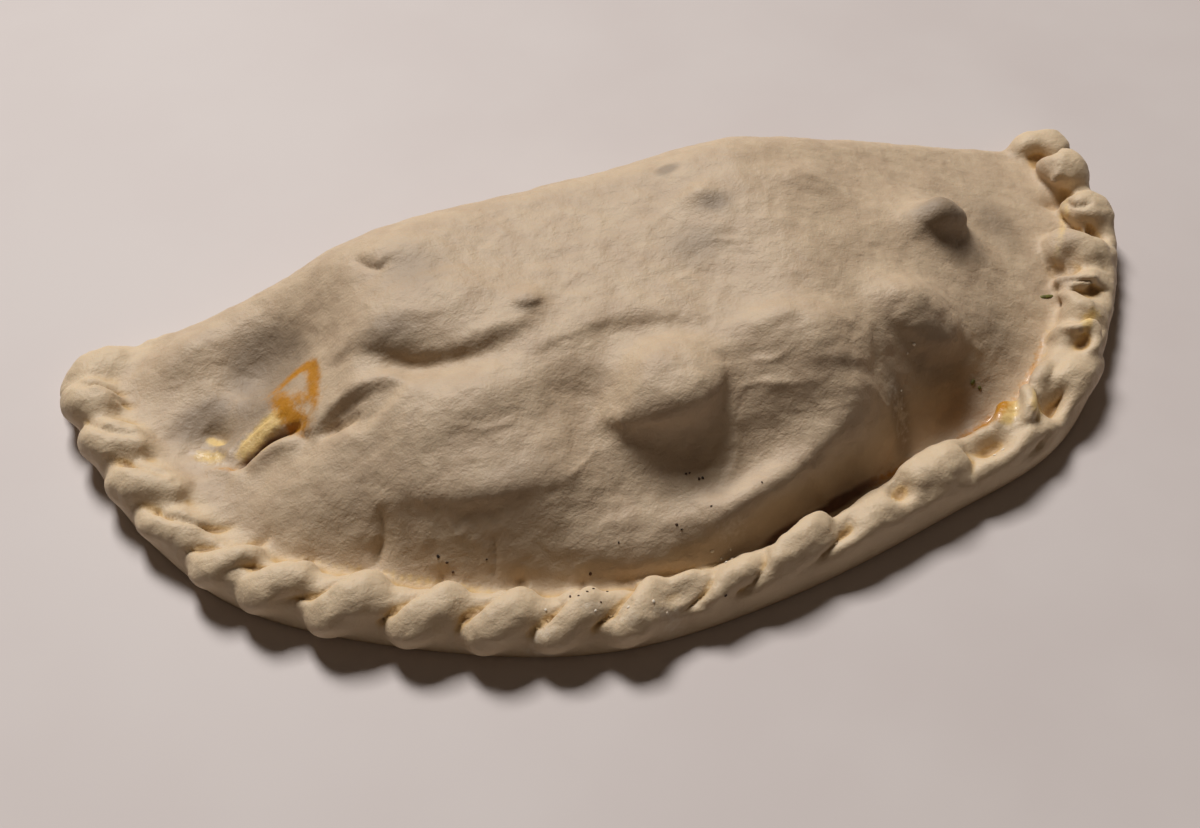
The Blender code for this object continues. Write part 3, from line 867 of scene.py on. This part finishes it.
# Painted shade: dark lines laid into the tear's slits on the dome.
SLIT_SHADE_ON_DOME = (
    (1.0, 1.5, (-112, 8.6), (-110.5, 9.3), (-106, 10.3), (-101.5, 12.3), (-97, 11.5), (-94, 10.5)),
    (0.6, 0.7, (-88, 5), (-84, 4.2), (-80, 3.4)),
)
WET_ON_DOME = (
    (0.4, 3.0, (-108, 13), (-102, 16.5), (-96, 17.5)),
    (1.0, 3.5, (-122, 20), (-118, 17), (-112, 12)),
    (0.6, 3.0, (-94, 24), (-90, 20), (-92, 14)),
    (0.9, 1.2, (-91, 9), (-95, 10), (-99, 12)),
)

# Tints laid on the rim, and painted shade in its gap to the dome: (strength, width, points along the rim and inward
# from its edge).
OIL_ON_RIM = (
    (0.8, 1.2, (278, 19.5), (284, 19.6), (292, 19.5), (300, 19.2), (308, 18.6)),
    (1.0, 2.4, (305, 18.6), (311, 18), (317, 17.5), (324, 17.5), (330, 18)),
    (0.8, 1.5, (314, 14), (322, 16.5), (330, 18.2)),
    (0.6, 1.2, (330, 18.5), (345, 18.5), (358, 18.5), (368, 19)),
)
BUTTER_ON_RIM = (
    (0.45, 2.0, (95, 15.5), (120, 16), (150, 16.5), (180, 14), (205, 13)),
    (0.35, 4.0, (205, 15), (222, 14), (240, 12.5)),
    (0.9, 2.6, (316, 12), (323, 15), (330, 18)),
    (0.7, 2.5, (324, 9), (331, 11), (337, 15)),
    (0.35, 2.4, (335, 17), (352, 17), (370, 18), (385, 18)),
    (0.5, 2.0, (385, 20), (400, 21), (420, 18), (440, 16)),
    (0.7, 2.2, (362, 9), (371, 9), (377, 6)),
)
# Painted shade: dark lines laid into the gap between rim and dome and into a groove of the rim.
SLIT_SHADE_ON_RIM = (
    (1.0, 1.8, (236, 13.5), (246, 16.5), (256, 18), (268, 19), (282, 19.6), (290, 20)),
    (0.6, 1.0, (260, 8), (264, 10), (265, 13)),
)

# Flour left on the rim (along, inward) and on the dome (plan): patches as above.
FLOUR_ON_RIM = (
    (212, 4, 6, 2.5, 0, 0.8, 2.0),
    (193, 7, 5, 3, 0, 0.8, 2.0),
    (181, 2.5, 6, 2.5, 0, 0.8, 2.0),
    (202, 3.5, 6, 2.5, 0, 0.7, 2.0),
    (168, 5, 6, 3, 0, 0.6, 2.0),
    (150, 4, 6, 3, 0, 0.5, 2.0),
)
FLOUR_ON_DOME = (
    (51, -30, 5, 7, 0, 0.7, 2.0),
    (-3, -51, 7, 2.5, 10, 0.7, 2.0),
    (-92, 41, 8, 6, 0, 0.4, 2.0),
)


def patches(at, rows):
    """How strongly soft-edged patches cover each place."""
    return np.max([hump(at * MM, *row) / MM for row in rows], axis=0)


def tracks(at, rows):
    """How strongly soft-edged lines cover each place."""
    return np.max([stroke(at, "round", *row) for row in rows], axis=0)


def clouds(places, size, stretch=(1.0, 1.0, 1.0)):
    """Smooth random values from -1 to 1 whose blotches are about that many millimetres across."""
    scaled = places * stretch / (size * MM)
    return np.array([noise.noise(place) for place in scaled.tolist()])


def profile(kind, away):
    """A stroke's height across it, as a share of its full height; away is in stroke widths."""
    if kind == "round":
        return np.exp(-(away**2))
    if kind == "sharp":
        return np.exp(-np.abs(away) * 1.4)
    raised = 0.5 + 0.5 * np.tanh(away / (0.3 if kind == "ledge" else 0.1))
    return raised * np.exp(-np.maximum(away, 0)) - 0.35 * (1 - raised) * np.exp(1.5 * np.minimum(away, 0))


def stroke(at, kind, height, width, *points):
    """Height of one stroke at each place."""
    line = smooth_line(points, 10 * len(points))
    reach = 4 * width
    near = np.all((at > line.min(axis=0) - reach) & (at < line.max(axis=0) + reach), axis=1)
    part = at[near]
    way = np.gradient(line, axis=0)
    way /= np.linalg.norm(way, axis=1)[:, None]
    offset = part[:, None] - line[None]
    nearest = (offset**2).sum(axis=2).argmin(axis=1)
    offset = offset[np.arange(len(part)), nearest]
    side = np.sign(way[nearest, 0] * offset[:, 1] - way[nearest, 1] * offset[:, 0])
    away = side * np.linalg.norm(offset, axis=1) / width
    fade = 1 - np.abs(2 * nearest / (len(line) - 1) - 1) ** 3
    made = np.zeros(len(at))
    made[near] = height * fade * profile(kind, away)
    return made


class Skin:
    """The dough's skin while it is worked: its vertices, and where they lie in plan and on the rim."""

    def __init__(self, mesh):
        self.mesh = mesh
        self.places = vertices(mesh)
        self.ends = edge_ends(mesh)
        self.refresh()

    def refresh(self):
        """Work out the normals and the places on the rim again."""
        move_to(self.mesh, self.places)
        self.normal = normals(self.mesh)
        self.plan = self.places[:, :2] / MM
        along, inward = EDGE.measure(self.places[:, :2])
        self.on_rim = np.stack([along, inward], axis=1) / MM

    def raise_by(self, height):
        """Raise the upward-facing skin along its normals, by heights in millimetres."""
        upward = np.clip(self.normal[:, 2] * 2 + 0.4, 0, 1)
        self.places += self.normal * (height * upward * MM)[:, None]

    def relax(self, rounds):
        """Soften the skin."""
        self.places = relaxed(self.places, self.ends, rounds)

    def paint(self, name, values):
        """Keep a number from 0 to 1 at every vertex, for the material."""
        layer = self.mesh.attributes.new(name, "FLOAT", "POINT")
        layer.data.foreach_set("value", np.clip(values, 0, 1).astype(np.float32))


def dough_skin():
    """The joined skin of the dough, before it is worked."""
    bm = bmesh.new()
    for tip in PILLOWS:
        pillow(bm, *tip)
    for fold in CRIMPS:
        crimp(bm, *fold)
    for lap in STRANDS:
        strand(bm, *lap)
    rim_core(bm)
    dome(bm)
    mesh = bpy.data.meshes.new("calzone_dough")
    bm.to_mesh(mesh)
    bm.free()
    made = bpy.data.objects.new("calzone_dough", mesh)
    bpy.context.scene.collection.objects.link(made)
    join(made)
    bm = bmesh.new()
    bm.from_mesh(made.data)
    outer_skin(bm)
    bm.to_mesh(made.data)
    bm.free()
    return made


def fit(skin, low, high):
    """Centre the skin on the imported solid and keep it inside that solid's box."""
    least, most = skin.places.min(axis=0), skin.places.max(axis=0)
    skin.places[:, :2] -= ((least + most) / 2 - (low + high) / 2)[:2]
    room = np.minimum(1, (high - low) / (most - least))[:2]
    skin.places[:, :2] *= room
    skin.places[:, 2] = np.minimum(skin.places[:, 2], high[2])


def ease_outside(skin):
    """Even out the rim's outer side and its two ends, where the crimps melt together."""
    inward = skin.on_rim[:, 1]
    share = np.clip((6 - inward) / 5, 0, 1)[:, None]
    skin.places += share * (relaxed(skin.places, skin.ends, 9) - skin.places)
    left = np.clip((125 - skin.on_rim[:, 0]) / 40, 0, 1) * np.clip((20 - inward) / 4, 0, 1)
    right = np.clip((skin.on_rim[:, 0] - 375) / 30, 0, 1) * np.clip((20 - inward) / 4, 0, 1)
    ends = np.maximum(0.8 * left, 0.6 * right)[:, None]
    skin.places += ends * (relaxed(skin.places, skin.ends, 14) - skin.places)
    skin.refresh()


def paint_dough(skin, on_rim):
    """Paint the rim, the creases, the tints and the painted shade of the deeper creases and slits, for the material.
    """
    cavity = np.einsum("ij,ij->i", relaxed(skin.places, skin.ends, 10) - skin.places, skin.normal) / MM
    cavity = relaxed(np.column_stack([cavity] * 3), skin.ends, 4)[:, 0]
    skin.paint("rim", on_rim)
    # This crease mask drives both the yellow oil tint and the painted shade that darkens the deeper creases.
    skin.paint("crease_oil_and_shade", (cavity - 0.05) * 2.5)
    skin.paint("thin", patches(skin.plan, THIN_PATCHES))
    skin.paint("butter", np.maximum(tracks(skin.plan, BUTTER_ON_DOME), tracks(skin.on_rim, BUTTER_ON_RIM)))
    skin.paint("oil", np.maximum(tracks(skin.plan, OIL_ON_DOME), tracks(skin.on_rim, OIL_ON_RIM)))
    # Painted shade in the slits; on the rim it is laid only low down, darker below about 9 mm.
    low = np.clip((9 - skin.places[:, 2] / MM) / 4, 0, 1)
    skin.paint("slit_shade", np.maximum(tracks(skin.plan, SLIT_SHADE_ON_DOME), tracks(skin.on_rim, SLIT_SHADE_ON_RIM) * low))
    wet_rim = tracks(skin.on_rim, (*OIL_ON_RIM, *BUTTER_ON_RIM[2:4]))
    skin.paint("wet", np.maximum(tracks(skin.plan, WET_ON_DOME), wet_rim))
    skin.paint("flour", np.maximum(patches(skin.plan, FLOUR_ON_DOME), patches(skin.on_rim, FLOUR_ON_RIM)))


def calzone(box):
    """The whole dough, worked and painted."""
    made = dough_skin()
    skin = Skin(made.data)
    skin.relax(3)
    skin.refresh()
    ease_outside(skin)
    fit(skin, *box)
    skin.refresh()
    skin.raise_by(sum(stroke(skin.plan, *row) for row in DOME_STROKES))
    skin.raise_by(sum(stroke(skin.on_rim, *row) for row in RIM_STROKES))
    skin.raise_by(sum(hump(skin.on_rim * MM, *row) for row in PINCHES) / MM)
    on_rim = np.clip((17 - skin.on_rim[:, 1]) / 3, 0, 1)
    uneven = 0.5 * clouds(skin.places, 9) + 0.35 * clouds(skin.places, 4)
    skin.raise_by(uneven * (0.7 + 0.5 * on_rim) + 0.22 * clouds(skin.places, 2.2) * (0.5 + 0.5 * on_rim))
    skin.raise_by(0.5 * clouds(skin.places, 1.8) * tracks(skin.plan, WET_ON_DOME[1:2]))
    skin.refresh()
    paint_dough(skin, on_rim)
    small_pieces(skin)
    bm = bmesh.new()
    bm.from_mesh(made.data)
    cut_underside(bm, box[0][2])
    bm.to_mesh(made.data)
    bm.free()
    made.data.shade_smooth()
    made.data.materials.append(raw_dough())
    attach(made, "root")
    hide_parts("calzone")
    return made


# ---- Specks, crumbs and herb --------------------------------------------------------------------------------

# Ground pepper and browned specks (x, y, radius), and crumbs of flour (x, y, radius).
PEPPER = (
    (-9, -36, 0.35),
    (-7.7, -36.3, 0.3),
    (-6.5, -38, 0.4),
    (-5.5, -38, 0.4),
    (-15, -47, 0.4),
    (-14.8, -48, 0.3),
    (-6, -46, 0.3),
    (14, -49, 0.4),
    (-71, -35, 0.5),
    (-69, -37, 0.4),
    (-68, -39, 0.4),
    (-38, -50, 0.5),
    (-45, -56, 0.35),
    (-43.5, -58, 0.3),
    (-41, -57, 0.35),
    (-39, -56, 0.35),
    (-38.5, -60, 0.3),
    (-36, -57, 0.35),
    (-10, -66, 0.45),
    (-60, -40, 0.3),
    (-30, -47, 0.3),
    (7, -44, 0.3),
)
CRUMBS = (
    (-8, -53, 0.5),
    (-6, -54, 0.4),
    (-4, -56, 0.5),
    (-1, -55, 0.4),
    (-6, -57, 0.5),
    (-3, -53, 0.35),
    (59, -18, 0.5),
    (57, -19.5, 0.35),
    (70, -47, 0.6),
    (73, -46, 0.5),
    (-27, -64, 0.5),
    (-24, -66, 0.4),
    (-33, -64, 0.45),
    (-40, -62, 0.4),
    (-51, -58, 0.4),
    (52, -29, 0.4),
    (53, -26, 0.35),
)
HERB = (110.5, 1.0, 2.4, 0.6, -20)  # x, y, half length, half width, turn in degrees
GREEN_FLECKS = ((76, -23, 0.9, 0.6, 30), (77.5, -24.5, 0.6, 0.5, 80))


def on_top(skin, x, y):
    """The skin's place and normal at a place in plan, in millimetres."""
    upward = np.where(skin.normal[:, 2] > 0.1)[0]
    away = ((skin.plan[upward] - (x, y)) ** 2).sum(axis=1)
    nearest = upward[away.argmin()]
    return Vector(skin.places[nearest]), Vector(skin.normal[nearest])


def bits(name, skin, rows, finish):
    """Small flat bits lying on the skin, as one piece (x, y, half length, half width, turn in degrees)."""
    bm = bmesh.new()
    for x, y, long, short, turn in rows:
        place, normal = on_top(skin, x, y)
        bit = bmesh.ops.create_icosphere(bm, subdivisions=2, radius=MM)["verts"]
        bmesh.ops.scale(bm, verts=bit, vec=(long, short, 0.45 * short))
        facing = normal.to_track_quat("Z", "Y").to_matrix() @ Matrix.Rotation(math.radians(turn), 3, "Z")
        bmesh.ops.rotate(bm, verts=bit, matrix=facing)
        bmesh.ops.translate(bm, verts=bit, vec=place + normal * 0.2 * short * MM)
    mesh = bpy.data.meshes.new(name)
    bm.to_mesh(mesh)
    bm.free()
    made = bpy.data.objects.new(name, mesh)
    bpy.context.scene.collection.objects.link(made)
    mesh.shade_smooth()
    mesh.materials.append(finish)
    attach(made, "root")


def speckled(name, colour, other, roughness):
    """A plain finish that wanders between two colours."""
    finish = Finish(name)
    cloud = finish.noise(finish.place(), 0.8, 3)
    finish.set(Base_Color=finish.mix(finish.between(cloud, 0.35, 0.65), colour, other))
    finish.set(Roughness=roughness)
    return finish.material


def small_pieces(skin):
    """Pepper, crumbs of flour and shreds of herb on the dough."""
    grains = [(x, y, size, 0.75 * size, 40 * number) for number, (x, y, size) in enumerate(PEPPER)]
    bits("calzone_pepper", skin, grains, speckled("ground pepper", PEPPER_BLACK, PEPPER_BROWN, 0.7))
    crumbs = [(x, y, size, 0.8 * size, 55 * number) for number, (x, y, size) in enumerate(CRUMBS)]
    bits("calzone_flour", skin, crumbs, speckled("flour crumbs", CRUMB_WHITE, FLOUR_WHITE, 0.9))
    bits("calzone_herb", skin, (HERB, *GREEN_FLECKS), speckled("dried herb", HERB_GREEN, HERB_OLIVE, 0.6))


# ---- Table, light and camera --------------------------------------------------------------------------------

VIEW_BACK = Vector((-0.2112, -0.6349, 0.7431))  # from the middle of the calzone towards the camera
VIEW_DISTANCE = 0.44
VIEW_MIDDLE = Vector((-0.0168, 0.0058, 0.0))
KEY_SIDE = Vector((-0.04, 0.66, 0.79))  # from the calzone towards the window


def table():
    """The table top."""
    bm = bmesh.new()
    bmesh.ops.create_grid(bm, x_segments=2, y_segments=2, size=1.5)
    mesh = bpy.data.meshes.new("table")
    bm.to_mesh(mesh)
    bm.free()
    made = bpy.data.objects.new("table", mesh)
    bpy.context.scene.collection.objects.link(made)
    mesh.materials.append(matt_table())


def lamp(name, side, distance, size, power, colour):
    """A soft square light that faces the calzone."""
    light = bpy.data.lights.new(name, "AREA")
    light.size = size
    light.energy = power
    light.color = colour
    made = bpy.data.objects.new(name, light)
    bpy.context.scene.collection.objects.link(made)
    made.location = side.normalized() * distance
    made.rotation_euler = side.to_track_quat("Z", "Y").to_euler()


def light():
    """Window light from behind, and a weak even fill."""
    lamp("window", KEY_SIDE, 4.0, 1.2, 172, (1.0, 0.97, 0.94))
    world = bpy.data.worlds.new("room")
    world.use_nodes = True
    world.node_tree.nodes["Background"].inputs["Color"].default_value = (0.66, 0.50, 0.36, 1)
    world.node_tree.nodes["Background"].inputs["Strength"].default_value = 0.1
    bpy.context.scene.world = world
    bpy.context.scene.view_settings.view_transform = "Standard"


def camera():
    """The camera, looking down from the front on the left."""
    lens = bpy.data.cameras.new("camera")
    lens.lens = 50
    lens.sensor_width = 36
    made = bpy.data.objects.new("camera", lens)
    bpy.context.scene.collection.objects.link(made)
    made.location = VIEW_MIDDLE + VIEW_BACK * VIEW_DISTANCE
    made.rotation_euler = VIEW_BACK.to_track_quat("Z", "Y").to_euler()
    bpy.context.scene.camera = made


def corners(box):
    """A box's two corners as lists of numbers."""
    return [[float(part) for part in corner] for corner in box]


def main():
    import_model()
    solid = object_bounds()
    camera()
    light()
    table()
    calzone([np.array(corner) for corner in corners(solid)])


main()
